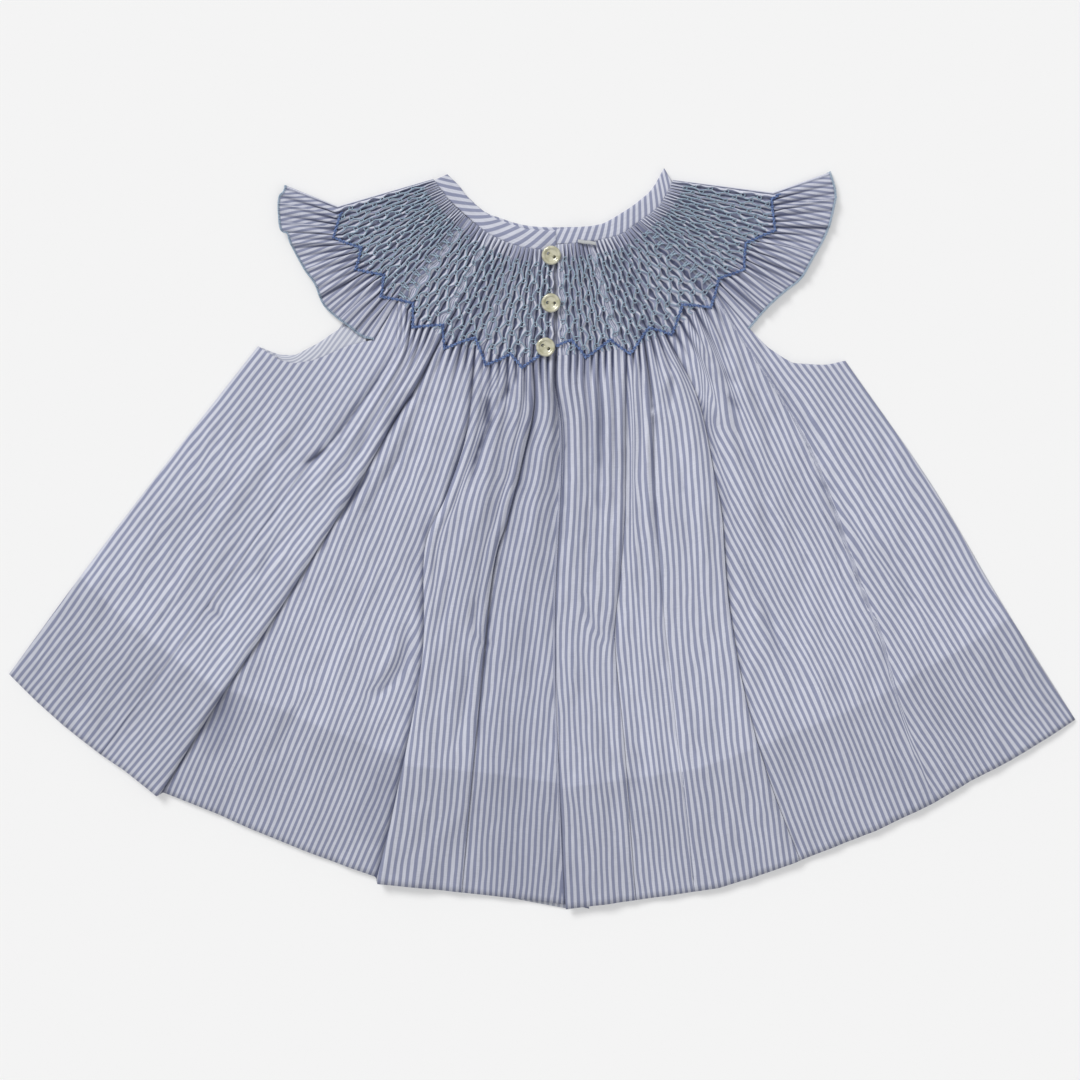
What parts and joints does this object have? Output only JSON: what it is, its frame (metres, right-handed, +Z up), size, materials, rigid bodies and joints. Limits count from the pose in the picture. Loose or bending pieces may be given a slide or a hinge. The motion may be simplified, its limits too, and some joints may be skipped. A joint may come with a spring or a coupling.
{
  "type": "toddler dress",
  "caption": "Smocked toddler dress with flutter sleeves and a buttoned back, laid flat on its front: a gathered yoke over a flared skirt with a deep plain hem.",
  "frame": {"origin": "middle of the laid-out dress's plan box, on the surface that it lies on", "axes": "+X to the right across the dress as it lies, +Y from the hem towards the neck, +Z up from the surface to the back of the dress"},
  "size_m": [0.587, 0.4081, 0.0096],
  "materials": {
    "striped_cotton": "plain woven cotton, blue-grey and off-white stripes",
    "cotton_inside": "inside of the same striped cotton, a little paler",
    "pearl_button": "pearly cream, glossy",
    "white_tape": "plain woven off-white tape"
  },
  "bodies": {
    "root": {"front": "cotton_inside", "back_left": "striped_cotton", "back_right": "striped_cotton", "sleeve_left": "striped_cotton", "sleeve_right": "striped_cotton", "neck_binding": "striped_cotton", "armhole_facing_left": "cotton_inside", "button_1": "pearl_button", "button_2": "pearl_button", "button_3": "pearl_button", "neck_tape": "white_tape"}
  },
  "joints": []
}
